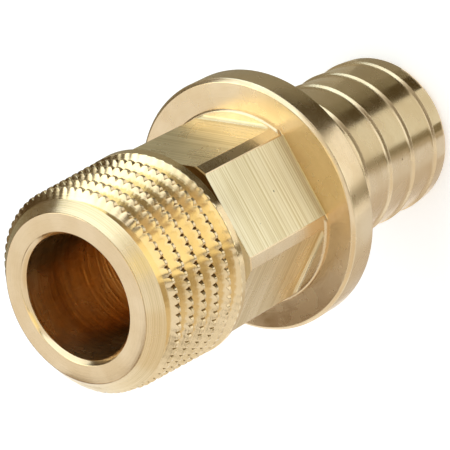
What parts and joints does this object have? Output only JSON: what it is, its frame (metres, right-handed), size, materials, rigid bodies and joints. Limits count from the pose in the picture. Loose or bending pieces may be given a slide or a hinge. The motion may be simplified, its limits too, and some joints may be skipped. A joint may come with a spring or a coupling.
{
  "type": "male threaded adapter",
  "caption": "Brass pipe adapter with a male taper thread, a hexagonal wrench section, a flange and a ringed pipe insert on one bore.",
  "frame": {"origin": "centre of the pipe insert's end face, on which the adapter stands", "axes": "+Z along the bore axis from the pipe insert to the thread's end face; +Y and -Y are normal to two opposite wrench flats"},
  "size_m": [0.0268, 0.0268, 0.0513],
  "materials": {
    "brass": "bare, turned and milled"
  },
  "bodies": {
    "root": {"adapter_body": "brass"}
  },
  "joints": []
}
